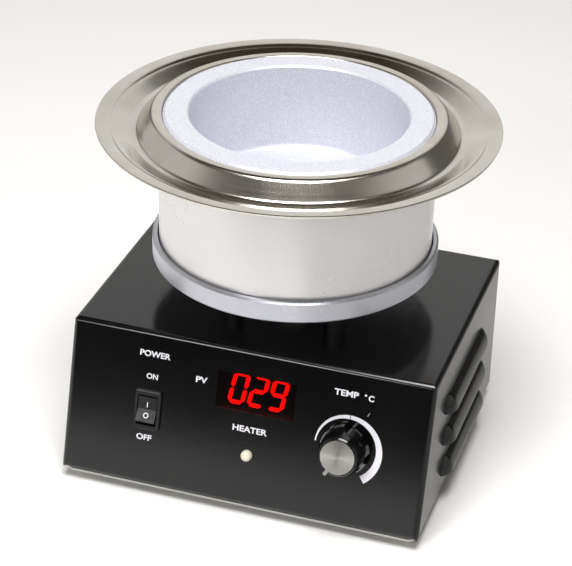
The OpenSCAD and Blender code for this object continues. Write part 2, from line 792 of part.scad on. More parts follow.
knob_lift = 0.8;                                   // gap between the panel and the knob
cap_t = 1;
shaft_top = knob_h - 2.6;
module pot_shaft() color([0.78, 0.78, 0.79]) {
    on_panel(knob_u, knob_v) {
        translate([0, 0, shaft_foot]) cylinder(d = shaft_d, h = shaft_top - shaft_foot);
        translate([0, 0, shaft_foot]) cylinder(d = shaft_d + 3, h = 1.6);
    }
}

set_screw_z = 9.2;
module knob() color([0.05, 0.05, 0.055]) {
    flute_r = knob_d * 0.15;
    on_panel(knob_u, knob_v) difference() {
        intersection() {
            rotate_extrude() polygon([
                [0, knob_lift], [knob_d / 2 - 0.4, knob_lift], [knob_d / 2, knob_lift + 0.4],
                [knob_d / 2, knob_lift + 2.2], [cap_d / 2 + 2, knob_h - 3],
                [cap_d / 2 + 1.1, knob_h - 0.6], [cap_d / 2 + 0.5, knob_h], [0, knob_h]]);
            // fluted grip
            translate([0, 0, knob_lift]) linear_extrude(knob_h) difference() {
                circle(d = knob_d);
                for (i = [0 : flute_count - 1])
                    rotate(pointer_angle + (i + 0.5) * 360 / flute_count)
                        translate([knob_d / 2 + flute_r * 0.6, 0]) circle(r = flute_r);
            }
        }
        // cap recess, shaft bore, space over the nut, set screw hole
        translate([0, 0, knob_h - cap_t]) cylinder(d = cap_d + 2 * run_gap, h = cap_t + 1);
        translate([0, 0, -1]) cylinder(d = shaft_d + 2 * run_gap, h = shaft_top + 1 + slip_gap);
        translate([0, 0, -1]) cylinder(d = 13, h = bush_l - sheet_t + slip_gap + 1);
        rotate([0, 90, pointer_angle + 90]) translate([-set_screw_z, 0, 0])
            cylinder(d = 3 + 2 * run_gap, h = knob_d);
    }
}

pointer_w = 1.5;
module knob_cap() color([0.8, 0.8, 0.8]) {
    on_panel(knob_u, knob_v) translate([0, 0, knob_h - cap_t]) {
        cylinder(d = cap_d, h = cap_t + 0.3);
        // pointer tab over the knob's edge
        rotate(pointer_angle) translate([0, -pointer_w / 2, cap_t + 0.02])
            cube([cap_d / 2 + 2.4, pointer_w, 0.28]);
    }
}

module knob_set_screw() color([0.3, 0.3, 0.31]) {
    length = 4;
    on_panel(knob_u, knob_v) rotate([0, 90, pointer_angle + 90]) translate([-set_screw_z, 0, 0])
        difference() {
            translate([0, 0, shaft_d / 2 + run_gap]) cylinder(d = 3, h = length);
            translate([0, 0, shaft_d / 2 + length - 1.2]) cylinder(d = 1.5 / cos(30), h = 2, $fn = 6);
        }
}

// ---- power switch -----------------------------------------------------------

bezel_t = 2;
bezel_bevel = 0.6;
switch_depth = 14;
rocker_w = switch_w - 3.2;
rocker_r = switch_l / 2 - 2.4;                     // the rocker's ends turn at this radius
pivot_z = -1;                                      // pivot level against the panel face
rocker_tilt = 9;                                   // tilt of the rocker to each side
rocker_stub = 0.6;

// Bar section of width w and height t with both upper corners cut off by c
module bevelled(w, t, c) {
    polygon([[-w / 2, 0], [w / 2, 0], [w / 2, t - c], [w / 2 - c, t], [-w / 2 + c, t],
             [-w / 2, t - c]]);
}

module switch_housing() color([0.06, 0.06, 0.065]) {
    on_panel(switch_u, switch_v) difference() {
        union() {
            // bezel with a bevelled edge
            intersection() {
                linear_extrude(bezel_t) rounded_rect(switch_w, switch_l, 1);
                along_x(switch_w) bevelled(switch_l, bezel_t, bezel_bevel);
                rotate(90) along_x(switch_l) bevelled(switch_w, bezel_t, bezel_bevel);
            }
            translate([0, 0, -switch_depth / 2 + 0.5])
                cube([switch_cut_w - 2 * run_gap, switch_cut_l - 2 * run_gap, switch_depth + 1],
                     center = true);
        }
        translate([0, 0, 4]) cube([rocker_w + 0.6, 2 * rocker_r + 0.6, 18], center = true);
        translate([0, 0, pivot_z]) rotate([0, 90, 0])
            cylinder(d = 2 + 2 * run_gap, h = rocker_w + 2 * rocker_stub + 0.3, center = true);
    }
}

module switch_rocker() color([0.04, 0.04, 0.045]) {
    on_panel(switch_u, switch_v) translate([0, 0, pivot_z]) rotate([-rocker_tilt, 0, 0]) {
        intersection() {
            along_x(rocker_w) polygon([
                [-rocker_r - 1, 3.9], [0, 2.6], [rocker_r + 1, 3.9], [rocker_r + 1, 0.6],
                [rocker_r * 0.5, -2.6], [-rocker_r * 0.5, -2.6], [-rocker_r - 1, 0.6]]);
            rotate([0, 90, 0]) cylinder(r = rocker_r, h = rocker_w + 2, center = true);
        }
        rotate([0, 90, 0]) cylinder(d = 2, h = rocker_w + 2 * rocker_stub, center = true);
    }
}

module switch_terminals() color([0.8, 0.68, 0.35]) {
    for (v = [-5, 5]) on_panel(switch_u, switch_v + v)
        translate([0, 0, -switch_depth - 4]) cube([4.8, 0.8, 8], center = true);
}

// ---- rear wall --------------------------------------------------------------

inlet_front = 3;                                   // thickness of the inlet's flange
inlet_depth = 18;
module mains_inlet() color([0.09, 0.09, 0.1]) {
    on_rear(inlet_x, inlet_z) difference() {
        union() {
            linear_extrude(inlet_front) rounded_outline([
                [-25, -4], [-15.4, -11.8], [15.4, -11.8], [25, -4],
                [25, 4], [15.4, 11.8], [-15.4, 11.8], [-25, 4]], 1.5);
            translate([0, 0, (1 - inlet_depth) / 2])
                cube([inlet_w, inlet_l, inlet_depth + 1], center = true);
        }
        translate([0, 0, -inlet_depth + 3.5]) linear_extrude(big) polygon([
            [-12, -8.2], [12, -8.2], [12, 3.6], [8, 8.2], [-8, 8.2], [-12, 3.6]]);
        for (x = [-inlet_ear, inlet_ear]) translate([x, 0, -1])
            cylinder(d = inlet_screw_d + 2 * run_gap, h = inlet_front + 2);
        each_pin() translate([0, 0, -inlet_depth - 1]) cube([4.1, 2.1, 12], center = true);
    }
}

module each_pin() {
    translate([0, 3.6, 0]) rotate(90) children();
    for (x = [-7, 7]) translate([x, -0.4, 0]) rotate(90) children();
}

module inlet_pins() color([0.8, 0.68, 0.35]) {
    on_rear(inlet_x, inlet_z) each_pin()
        translate([0, 0, -inlet_depth + 3]) cube([4, 2, 22], center = true);
}

module inlet_screws() color([0.75, 0.75, 0.76]) {
    on_rear(inlet_x, inlet_z) for (x = [-inlet_ear, inlet_ear]) {
        translate([x, 0, inlet_front + 1.8])
            pan_screw(inlet_screw_d, inlet_front + sheet_t + 3, 5.6, 1.8);
        translate([x, 0, -sheet_t - 2.4]) cylinder(d = 5.5 / cos(30), h = 2.4, $fn = 6);
    }
}

fuse_len = 20;
fuse_tube_d = 5.2;
module fuse_holder() color([0.09, 0.09, 0.1]) {
    on_rear(fuse_x, fuse_z) difference() {
        union() {
            cylinder(d = fuse_d + 4, h = 2);
            translate([0, 0, -30]) cylinder(d = fuse_d, h = 31);
            translate([0, 0, -sheet_t - 3]) cylinder(d = (fuse_d + 4) / cos(30), h = 3, $fn = 6);
        }
        translate([0, 0, -28]) cylinder(d = 8, h = 40);
    }
}

module fuse_cap() color([0.09, 0.09, 0.1]) {
    on_rear(fuse_x, fuse_z) difference() {
        union() {
            translate([0, 0, 2]) cylinder(d = 12.5, h = 4.5);
            translate([0, 0, -5]) cylinder(d = 8 - 2 * run_gap, h = 8);
        }
        translate([0, 0, 5]) cube([9, 1.4, 4], center = true);
        translate([0, 0, -6]) cylinder(d = fuse_tube_d + 2 * run_gap, h = 5);
    }
}

module fuse() color([0.85, 0.87, 0.88]) {
    on_rear(fuse_x, fuse_z) translate([0, 0, -1 - fuse_len]) {
        translate([0, 0, 4]) cylinder(d = fuse_tube_d - 0.6, h = fuse_len - 8);
        cylinder(d = fuse_tube_d, h = 5);
        translate([0, 0, fuse_len - 5]) cylinder(d = fuse_tube_d, h = 5);
    }
}

module earth_stud() color([0.8, 0.68, 0.35]) {
    on_rear(earth_x, earth_z) translate([0, 0, 2]) pan_screw(earth_d, 14, 7, 2);
}

module earth_nut() color([0.8, 0.68, 0.35]) {
    on_rear(earth_x, earth_z) translate([0, 0, -sheet_t - 3]) hex_nut(7, 3, earth_d + 2 * run_gap);
}

case_shell();
bottom_plate();
plate_screws();
rubber_feet();
foot_screws();
support_posts();
post_bolts();
post_nuts();
lead_tube();
lead_tube_nut();
base_pan();
heater_housing();
drip_dish();
crucible();
heater_band();
band_bolt();
insulation_sleeve();
insulation_disc();
thermocouple();
control_board();
board_spacers();
transformer();
triac();
heat_sink();
filter_capacitor();
terminal_block();
front_board();
front_spacers();
display_module();
display_window();
heater_lamp();
potentiometer();
pot_nut();
pot_shaft();
knob();
knob_cap();
knob_set_screw();
switch_housing();
switch_rocker();
switch_terminals();
mains_inlet();
inlet_pins();
inlet_screws();
fuse_holder();
fuse_cap();
fuse();
earth_stud();
earth_nut();
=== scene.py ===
"""Bench solder pot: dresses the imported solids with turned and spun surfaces, panel printing,
a lit display, materials and a small studio. Lengths are written in millimetres and turned
into metres where a mesh is made."""

import json
import math

import bmesh
import bpy
from mathutils import Matrix, Vector


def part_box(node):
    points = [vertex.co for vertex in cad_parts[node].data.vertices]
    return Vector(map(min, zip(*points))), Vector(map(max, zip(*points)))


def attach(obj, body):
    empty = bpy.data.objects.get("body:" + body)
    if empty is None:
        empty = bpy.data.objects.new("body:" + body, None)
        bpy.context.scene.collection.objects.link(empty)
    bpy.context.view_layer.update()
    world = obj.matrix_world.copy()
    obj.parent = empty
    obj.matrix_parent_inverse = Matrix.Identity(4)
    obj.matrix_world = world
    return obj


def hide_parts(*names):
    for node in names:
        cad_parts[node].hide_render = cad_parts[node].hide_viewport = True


MM = 0.001

# ---- frame and shared levels --------------------------------------------------------------

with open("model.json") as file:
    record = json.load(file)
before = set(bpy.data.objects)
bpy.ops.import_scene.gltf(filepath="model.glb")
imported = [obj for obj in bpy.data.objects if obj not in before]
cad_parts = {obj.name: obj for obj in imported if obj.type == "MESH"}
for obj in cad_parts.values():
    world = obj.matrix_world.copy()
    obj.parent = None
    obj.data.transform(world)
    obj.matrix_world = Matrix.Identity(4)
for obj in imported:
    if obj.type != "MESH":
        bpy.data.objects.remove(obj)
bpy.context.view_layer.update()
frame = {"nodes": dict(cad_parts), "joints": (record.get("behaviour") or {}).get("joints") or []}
nodes = frame["nodes"]
joints = {j["name"]: j for j in frame["joints"]}


def box_mm(node):
    """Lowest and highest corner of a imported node, in millimetres."""
    low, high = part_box(node)
    return low / MM, high / MM


case_high = box_mm("case_shell")[1]
crucible_high = box_mm("crucible")[1]
dish_high = box_mm("drip_dish")[1]

RIM_Z = crucible_high.z
RIM_R = crucible_high.x
DISH_R = dish_high.x

# The front panel's own frame: u across, v up the slope, w outward
PANEL_SLOPE = math.radians(15)
PANEL_U = Vector((1, 0, 0))
PANEL_V = Vector((0, math.sin(PANEL_SLOPE), math.cos(PANEL_SLOPE)))
PANEL_W = Vector((0, -math.cos(PANEL_SLOPE), math.sin(PANEL_SLOPE)))
KNOB_U = 47.2
KNOB_V = 36.9
knob_joint = joints["temperature_dial"]
KNOB_AXIS = Vector(knob_joint["axis"])
KNOB_FOOT = Vector(knob_joint["pos_m"]) / MM
PANEL_FOOT = KNOB_FOOT - PANEL_U * KNOB_U - PANEL_V * KNOB_V


def on_panel(u, v, w=0.0):
    """A point of the panel's frame, in millimetres."""
    return PANEL_FOOT + PANEL_U * u + PANEL_V * v + PANEL_W * w


def panel_matrix(u, v, w, turn=0.0):
    """Places something drawn in X-Y on the panel, in metres."""
    base = Matrix((PANEL_U, PANEL_V, PANEL_W)).transposed().to_4x4()
    base.translation = on_panel(u, v, w) * MM
    return base @ Matrix.Rotation(turn, 4, "Z")


# ---- nodes --------------------------------------------------------------------------------


def linear(code):
    """A hex sRGB colour as linear RGBA."""
    parts = [int(code[i : i + 2], 16) / 255 for i in (1, 3, 5)]
    return tuple(c / 12.92 if c <= 0.04045 else ((c + 0.055) / 1.055) ** 2.4 for c in parts) + (1,)


def add(tree, kind, links=None, **values):
    """Adds a node. values set its properties or sockets, links feed its sockets."""
    node = tree.nodes.new(kind)
    for name, value in values.items():
        if hasattr(node, name) and not isinstance(getattr(node, name), bpy.types.bpy_prop_collection):
            setattr(node, name, value)
        else:
            node.inputs[name.replace("_", " ")].default_value = value
    for name, source in (links or {}).items():
        tree.links.new(source, node.inputs[name])
    return node


def material(name, base, **shader):
    """A material with one Principled shader. Returns it with its tree and the shader."""
    mat = bpy.data.materials.new(name)
    mat.use_nodes = True
    tree = mat.node_tree
    tree.nodes.clear()
    out = tree.nodes.new("ShaderNodeOutputMaterial")
    bsdf = tree.nodes.new("ShaderNodeBsdfPrincipled")
    bsdf.inputs["Base Color"].default_value = linear(base)
    for key, value in shader.items():
        bsdf.inputs[key.replace("_", " ")].default_value = value
    tree.links.new(bsdf.outputs["BSDF"], out.inputs["Surface"])
    return mat, tree, bsdf


def millimetres(tree):
    """Object coordinates in millimetres."""
    place = add(tree, "ShaderNodeTexCoord")
    scaled = add(tree, "ShaderNodeVectorMath", {0: place.outputs["Object"]}, operation="SCALE")
    scaled.inputs["Scale"].default_value = 1 / MM
    return scaled.outputs["Vector"]


def noise(tree, place, size, detail=3.0, rough=0.5):
    """Noise whose features are about size millimetres across, from 0 to 1."""
    return add(
        tree, "ShaderNodeTexNoise", {"Vector": place}, Scale=1 / size, Detail=detail, Roughness=rough
    ).outputs["Fac"]


def ramp(tree, value, low, high, out_low, out_high):
    """Maps value from low..high to out_low..out_high, clamped."""
    node = add(tree, "ShaderNodeMapRange", {"Value": value})
    for key, number in zip(("From Min", "From Max", "To Min", "To Max"), (low, high, out_low, out_high)):
        node.inputs[key].default_value = number
    return node.outputs["Result"]


def blend(tree, factor, first, second):
    """Mixes two colours by a factor. Each is a hex code or a socket."""
    node = add(tree, "ShaderNodeMix", {0: factor}, data_type="RGBA")
    for socket, colour in ((node.inputs[6], first), (node.inputs[7], second)):
        if isinstance(colour, str):
            socket.default_value = linear(colour)
        else:
            tree.links.new(colour, socket)
    return node.outputs[2]


def bump(tree, bsdf, height, depth, strength=1.0):
    """Raises the surface by height times depth millimetres, on top of any earlier bump."""
    node = add(tree, "ShaderNodeBump", {"Height": height}, Strength=strength, Distance=depth * MM)
    earlier = bsdf.inputs["Normal"].links
    if earlier:
        tree.links.new(earlier[0].from_socket, node.inputs["Normal"])
    tree.links.new(node.outputs["Normal"], bsdf.inputs["Normal"])


def radius_from(tree, place, centre, axis):
    """(distance from the line through centre along axis, vector round that line)."""
    arm = add(tree, "ShaderNodeVectorMath", {0: place}, operation="SUBTRACT")
    arm.inputs[1].default_value = centre
    around = add(tree, "ShaderNodeVectorMath", {1: arm.outputs[0]}, operation="CROSS_PRODUCT")
    around.inputs[0].default_value = axis
    length = add(tree, "ShaderNodeVectorMath", {0: around.outputs[0]}, operation="LENGTH")
    return length.outputs["Value"], around.outputs[0]


def turned(tree, bsdf, place, centre, axis, pitch, depth, anisotropy):
    """Rings left by turning or spinning round an axis, with highlights drawn out across them."""
    radius, around = radius_from(tree, place, centre, axis)
    world = add(
        tree,
        "ShaderNodeVectorTransform",
        {"Vector": around},
        vector_type="VECTOR",
        convert_from="OBJECT",
        convert_to="WORLD",
    )
    unit = add(tree, "ShaderNodeVectorMath", {0: world.outputs[0]}, operation="NORMALIZE")
    tree.links.new(unit.outputs[0], bsdf.inputs["Tangent"])
    bsdf.inputs["Anisotropic"].default_value = anisotropy
    spread = add(tree, "ShaderNodeCombineXYZ", {"X": radius})
    rings = noise(tree, spread.outputs[0], pitch, 2, 0.6)
    bump(tree, bsdf, rings, depth)
    return rings


# ---- materials ----------------------------------------------------------------------------


def make_enamel():
    """Stoved black enamel on folded steel: near-smooth, a little orange peel, light dust."""
    mat, tree, bsdf = material("black_stove_enamel", "#070708", Roughness=0.2)
    place = millimetres(tree)
    bump(tree, bsdf, noise(tree, place, 1.6, 2), 0.012)
    bump(tree, bsdf, noise(tree, place, 0.35, 2), 0.002)
    clouds = noise(tree, place, 38, 3)
    specks = noise(tree, place, 0.7, 2)
    rough = add(
        tree,
        "ShaderNodeMath",
        {0: ramp(tree, clouds, 0.3, 0.7, 0.12, 0.17), 1: ramp(tree, specks, 0.62, 0.8, 0, 0.08)},
        operation="ADD",
    )
    tree.links.new(rough.outputs[0], bsdf.inputs["Roughness"])
    tree.links.new(
        blend(tree, ramp(tree, specks, 0.66, 0.8, 0, 0.5), "#070708", "#1c1c1d"),
        bsdf.inputs["Base Color"],
    )
    return mat


def make_spun_steel():
    """Spun stainless sheet with a satin polish: fine rings, faint warm heat tint."""
    mat, tree, bsdf = material("spun_stainless", "#cfccc7", Metallic=1.0, Roughness=0.16)
    place = millimetres(tree)
    rings = turned(tree, bsdf, place, (0, 0, 0), (0, 0, 1), 0.45, 0.004, 0.45)
    clouds = noise(tree, place, 26, 3)
    tree.links.new(
        blend(tree, ramp(tree, clouds, 0.35, 0.7, 0, 1), "#d2cfca", "#c9c3b8"),
        bsdf.inputs["Base Color"],
    )
    rough = add(
        tree,
        "ShaderNodeMath",
        {0: ramp(tree, clouds, 0.3, 0.7, 0.13, 0.2), 1: ramp(tree, rings, 0.3, 0.7, 0, 0.06)},
        operation="ADD",
    )
    tree.links.new(rough.outputs[0], bsdf.inputs["Roughness"])
    bump(tree, bsdf, noise(tree, place, 9, 2), 0.02)
    return mat


def make_crucible_paint():
    """Cast iron under a coat of aluminium paint: soft grain with fine bright flakes."""
    mat, tree, bsdf = material("aluminium_paint", "#dcdde6", Metallic=0.35, Roughness=0.4)
    place = millimetres(tree)
    grain = noise(tree, place, 0.9, 4, 0.6)
    bump(tree, bsdf, grain, 0.035)
    bump(tree, bsdf, noise(tree, place, 6, 2), 0.06)
    flakes = add(tree, "ShaderNodeTexVoronoi", {"Vector": place}, Scale=1 / 0.35).outputs["Color"]
    bright = add(tree, "ShaderNodeSeparateColor", {"Color": flakes}).outputs[0]
    tree.links.new(
        blend(tree, ramp(tree, bright, 0.55, 1, 0, 0.7), "#cfd0da", "#f2f3f8"),
        bsdf.inputs["Base Color"],
    )
    tree.links.new(ramp(tree, bright, 0.3, 1, 0.46, 0.3), bsdf.inputs["Roughness"])
    return mat


def make_silver_lacquer(name, low, high):
    """Silver lacquer over rolled steel: smooth, slightly clouded, gently uneven."""
    mat, tree, bsdf = material(name, low, Metallic=0.6, Roughness=0.3)
    place = millimetres(tree)
    clouds = noise(tree, place, 30, 3)
    tree.links.new(blend(tree, clouds, low, high), bsdf.inputs["Base Color"])
    tree.links.new(ramp(tree, clouds, 0.3, 0.7, 0.26, 0.36), bsdf.inputs["Roughness"])
    bump(tree, bsdf, noise(tree, place, 3.0, 2), 0.002)
    return mat


def make_turned_metal(name, base, centre, axis, rough, anisotropy):
    """Bright turned metal with rings round its own axis."""
    mat, tree, bsdf = material(name, base, Metallic=1.0, Roughness=rough)
    turned(tree, bsdf, millimetres(tree), centre, axis, 0.12, 0.003, anisotropy)
    return mat


def make_plain(name, base, size, depth, metal=0.0, rough=0.45, shift=0.06, second=None, **extra):
    """A moulded, plated or sintered surface: mottled colour and roughness over a fine grain."""
    mat, tree, bsdf = material(name, base, Metallic=metal, Roughness=rough, **extra)
    place = millimetres(tree)
    clouds = noise(tree, place, size * 20, 3)
    tree.links.new(blend(tree, clouds, base, second or base), bsdf.inputs["Base Color"])
    tree.links.new(
        ramp(tree, clouds, 0.3, 0.7, max(rough - shift, 0.02), rough + shift), bsdf.inputs["Roughness"]
    )
    bump(tree, bsdf, noise(tree, place, size, 3), depth)
    return mat


def make_print(name, base):
    """Screen-printed ink, slightly thin in places."""
    mat, tree, bsdf = material(name, base, Roughness=0.5)
    place = millimetres(tree)
    bump(tree, bsdf, noise(tree, place, 0.25, 2), 0.004)
    tree.links.new(
        blend(tree, ramp(tree, noise(tree, place, 0.5, 2), 0.62, 0.75, 0, 0.35), base, "#b9b9c0"),
        bsdf.inputs["Base Color"],
    )
    return mat


def make_light(name, colour, strength):
    """A lit segment of the display."""
    mat, tree, bsdf = material(name, colour, Roughness=0.4, Emission_Strength=strength)
    bsdf.inputs["Emission Color"].default_value = linear(colour)
    glow = noise(tree, millimetres(tree), 1.2, 1)
    tree.links.new(
        blend(tree, ramp(tree, glow, 0.3, 0.7, 0, 0.3), colour, "#ff3b20"),
        bsdf.inputs["Emission Color"],
    )
    return mat


def make_tinted(name, base, rough):
    """Cast acrylic tinted through its thickness."""
    mat, tree, bsdf = material(name, base, Roughness=rough, Transmission_Weight=1.0, IOR=1.49)
    bump(tree, bsdf, noise(tree, millimetres(tree), 4, 2), 0.004)
    return mat


# Black stove enamel mirrors the pot dimly. Satin stainless draws its highlights out
# across the spinning marks. Aluminium paint over iron sparkles softly. The housing and its pan
# are lacquered, one sheet and one casting, so they shine without a hard mirror.
ENAMEL = make_enamel()
SPUN = make_spun_steel()
CRUCIBLE = make_crucible_paint()
HOUSING = make_silver_lacquer("silver_lacquer_sheet", "#e4e2e4", "#ecebeb")
PAN = make_silver_lacquer("silver_lacquer_casting", "#c2c4cd", "#ccced7")
# Facing cuts on the cap and the turned steel give a bow-tie highlight.
CAP = make_turned_metal("turned_aluminium", "#d9d8d4", KNOB_FOOT, KNOB_AXIS, 0.24, 0.85)
STEEL = make_turned_metal("turned_steel", "#a9a9ab", (0, 0, 0), (0, 0, 1), 0.3, 0.4)
# Plated, moulded, sintered and extruded parts: each keeps a low mottle, so none looks painted.
ZINC = make_plain("zinc_plate", "#a3a5a8", 0.4, 0.006, 1.0, 0.34, second="#b4b2a6")
RUBBER = make_plain("moulded_rubber", "#161616", 0.5, 0.03, 0.0, 0.75, second="#1d1d1c")
BLACK = make_plain("black_nylon", "#0d0d0e", 0.3, 0.008, 0.0, 0.38, second="#121213")
GLOSS = make_plain("polished_phenolic", "#070708", 0.3, 0.002, 0.0, 0.14, 0.03, "#0b0b0c")
CERAMIC = make_plain("steatite", "#dedacf", 0.3, 0.01, 0.0, 0.5, second="#d2cdbf")
FIBRE = make_plain("ceramic_fibre", "#e4e1d8", 0.6, 0.15, 0.0, 0.95, 0.03, "#d5d1c4")
BOARD = make_plain("solder_mask", "#0c3a1c", 0.5, 0.01, 0.0, 0.3, second="#0f4522")
GREEN = make_plain("green_polyamide", "#12502a", 0.3, 0.01, 0.0, 0.45, second="#165a30")
NATURAL = make_plain("natural_nylon", "#d6d1c2", 0.3, 0.01, 0.0, 0.5, second="#cdc7b6")
IRON = make_plain("varnished_laminations", "#26262a", 0.3, 0.03, 0.3, 0.45, second="#30302f")
EXTRUDED = make_plain("extruded_aluminium", "#b4b5b8", 0.3, 0.01, 1.0, 0.35, second="#bfbfc0")
BRASS = make_plain("tinned_brass", "#b79a55", 0.3, 0.006, 1.0, 0.3, second="#c4b182")
DARK_STEEL = make_plain("blackened_steel", "#2b2b2e", 0.3, 0.008, 1.0, 0.4, second="#343436")
CAN = make_plain("capacitor_sleeve", "#1a2442", 0.3, 0.005, 0.0, 0.35, second="#202b4b")
# Matt ink, glowing segments behind clear red acrylic, and a milky lamp lens.
INK = make_print("white_ink", "#eceaf2")
INK_FAINT = make_print("worn_ink", "#8d8a86")
LIT = make_light("lit_segment", "#ff1812", 9.0)
UNLIT = make_plain("unlit_segment", "#2a1212", 0.3, 0.002, 0.0, 0.4, second="#301515")
FACE = make_plain("display_face", "#0c0809", 0.3, 0.004, 0.0, 0.5, second="#0f0a0b")
WINDOW = make_tinted("red_acrylic", "#6e1414", 0.04)
LENS = make_plain("diffused_lens", "#efe9d6", 0.3, 0.004, 0.0, 0.22, second="#e6dfc8")
CLEAR = make_tinted("fuse_glass", "#eef2f2", 0.02)

WEAR = {
    "case_shell": ENAMEL,
    "bottom_plate": ZINC,
    "plate_screws": ZINC,
    "rubber_feet": RUBBER,
    "foot_screws": ZINC,
    "support_posts": STEEL,
    "post_bolts": ZINC,
    "post_nuts": ZINC,
    "lead_tube": CERAMIC,
    "lead_tube_nut": ZINC,
    "base_pan": PAN,
    "heater_housing": HOUSING,
    "drip_dish": SPUN,
    "crucible": CRUCIBLE,
    "heater_band": STEEL,
    "band_bolt": ZINC,
    "insulation_sleeve": FIBRE,
    "insulation_disc": FIBRE,
    "thermocouple": STEEL,
    "control_board": BOARD,
    "board_spacers": NATURAL,
    "transformer": IRON,
    "triac": BLACK,
    "heat_sink": EXTRUDED,
    "filter_capacitor": CAN,
    "terminal_block": GREEN,
    "front_board": BOARD,
    "front_spacers": ZINC,
    "display_module": FACE,
    "display_window": WINDOW,
    "heater_lamp": LENS,
    "potentiometer": EXTRUDED,
    "pot_nut": ZINC,
    "pot_shaft": EXTRUDED,
    "knob": GLOSS,
    "knob_cap": CAP,
    "knob_set_screw": DARK_STEEL,
    "switch_housing": BLACK,
    "switch_rocker": BLACK,
    "switch_terminals": BRASS,
    "mains_inlet": BLACK,
    "inlet_pins": BRASS,
    "inlet_screws": ZINC,
    "fuse_holder": BLACK,
    "fuse_cap": BLACK,
    "fuse": CLEAR,
    "earth_stud": BRASS,
    "earth_nut": BRASS,
}
for name, mat in WEAR.items():
    mesh = nodes[name].data
    mesh.materials.clear()
    mesh.materials.append(mat)


# ---- making pieces ------------------------------------------------------------------------


def piece(name, bm, mat, body, angle=40.0):
    """Turns a bmesh in metres into a smooth-shaded piece on a body."""
    bmesh.ops.recalc_face_normals(bm, faces=bm.faces)
    for edge in bm.edges:
        edge.smooth = len(edge.link_faces) == 2 and edge.calc_face_angle(0) < math.radians(angle)
    for face in bm.faces:
        face.smooth = True
    mesh = bpy.data.meshes.new(name)
    bm.to_mesh(mesh)
    bm.free()
    mesh.materials.append(mat)
    obj = bpy.data.objects.new(name, mesh)
    bpy.context.scene.collection.objects.link(obj)
    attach(obj, body)
    return obj


def lathe(name, profile, mat, body, segments=256):
    """Spins a closed (r, z) profile round the pot's axis. Points on the axis close the form."""
    bm = bmesh.new()
    rings = []
    for r, z in profile:
        if r < 1e-6:
            rings.append([bm.verts.new((0, 0, z * MM))])
            continue
        ring = []
        for k in range(segments):
            a = 2 * math.pi * k / segments
            ring.append(bm.verts.new((r * math.cos(a) * MM, r * math.sin(a) * MM, z * MM)))
        rings.append(ring)
    for i in range(len(rings)):
        low, high = rings[i], rings[(i + 1) % len(rings)]
        if len(low) == 1 and len(high) == 1:
            continue
        for k in range(segments):
            n = (k + 1) % segments
            if len(low) == 1:
                bm.faces.new((low[0], high[k], high[n]))
            elif len(high) == 1:
                bm.faces.new((low[k], high[0], low[n]))
            else:
                bm.faces.new((low[k], high[k], high[n], low[n]))
    return piece(name, bm, mat, body)


def flat(name, outlines, thick, matrix, mat, body):
    """Flat plates from outlines in X-Y millimetres, thick millimetres high, placed by matrix."""
    bm = bmesh.new()
    for outline in outlines:
        low = [bm.verts.new((x * MM, y * MM, 0)) for x, y in outline]
        high = [bm.verts.new((x * MM, y * MM, thick * MM)) for x, y in outline]
        bm.faces.new(list(reversed(low)))
        bm.faces.new(high)
        for i in range(len(outline)):
            n = (i + 1) % len(outline)
            bm.faces.new((low[i], low[n], high[n], high[i]))
    bm.transform(matrix)
    return piece(name, bm, mat, body)


def lettering(name, words, u, v, w, width, height, mat, body="root", turn=0.0):
    """Printed words centred at a point of the panel, with cap height and width in millimetres."""
    curve = bpy.data.curves.new(name, "FONT")
    curve.body = words
    curve.align_x = "CENTER"
    curve.size = 1.0
    curve.offset = 0.028
    curve.extrude = 0.01
    curve.resolution_u = 6
    source = bpy.data.objects.new(name, curve)
    bpy.context.scene.collection.objects.link(source)
    bpy.context.view_layer.update()
    mesh = bpy.data.meshes.new_from_object(source.evaluated_get(bpy.context.evaluated_depsgraph_get()))
    bpy.data.objects.remove(source)
    xs = [p.co.x for p in mesh.vertices]
    ys = [p.co.y for p in mesh.vertices]
    size = Vector((width / (max(xs) - min(xs)), height / (max(ys) - min(ys)), PRINT_T / 0.02)) * MM
    middle = Vector(((max(xs) + min(xs)) / 2, (max(ys) + min(ys)) / 2, -0.01))
    place = panel_matrix(u, v, w, turn) @ Matrix.Diagonal(size).to_4x4() @ Matrix.Translation(-middle)
    mesh.transform(place)
    bm = bmesh.new()
    bm.from_mesh(mesh)
    bpy.data.meshes.remove(mesh)
    return piece(name, bm, mat, body)


PRINT_T = 0.05  # thickness of printed ink

# ---- turned and spun pieces ---------------------------------------------------------------

DISH_T = 1.0
LEDGE_Z = RIM_Z - 4.4
FLANGE_Z = RIM_Z - 4.6
TROUGH_Z = FLANGE_Z - 3.7
COLLAR_Z = RIM_Z - 0.3
WELL_R = RIM_R + 0.3
COLLAR_R = WELL_R + DISH_T + 3.4
TROUGH_R = COLLAR_R + 7
STEP_R = DISH_R - 5.8


def thicken(path, thick):
    """The path moved square to itself towards the underside, as a list in reverse order."""
    under = []
    for i, point in enumerate(path):
        a, b = path[max(i - 1, 0)], path[min(i + 1, len(path) - 1)]
        run = (b - a).normalized()
        under.append(point + Vector((run.y, -run.x)) * thick)
    return list(reversed(under))


def arc(cx, cz, r, start, end, steps):
    """Points of an arc in the (r, z) plane, angles in degrees."""
    angles = [math.radians(start + (end - start) * i / steps) for i in range(steps + 1)]
    return [Vector((cx + r * math.cos(a), cz + r * math.sin(a))) for a in angles]


def smooth(path, rounds):
    """Cuts the corners of an open path, keeping its ends."""
    for _ in range(rounds):
        out = [path[0]]
        for a, b in zip(path, path[1:]):
            out += [a.lerp(b, 0.25), a.lerp(b, 0.75)]
        path = out + [path[-1]]
    return path


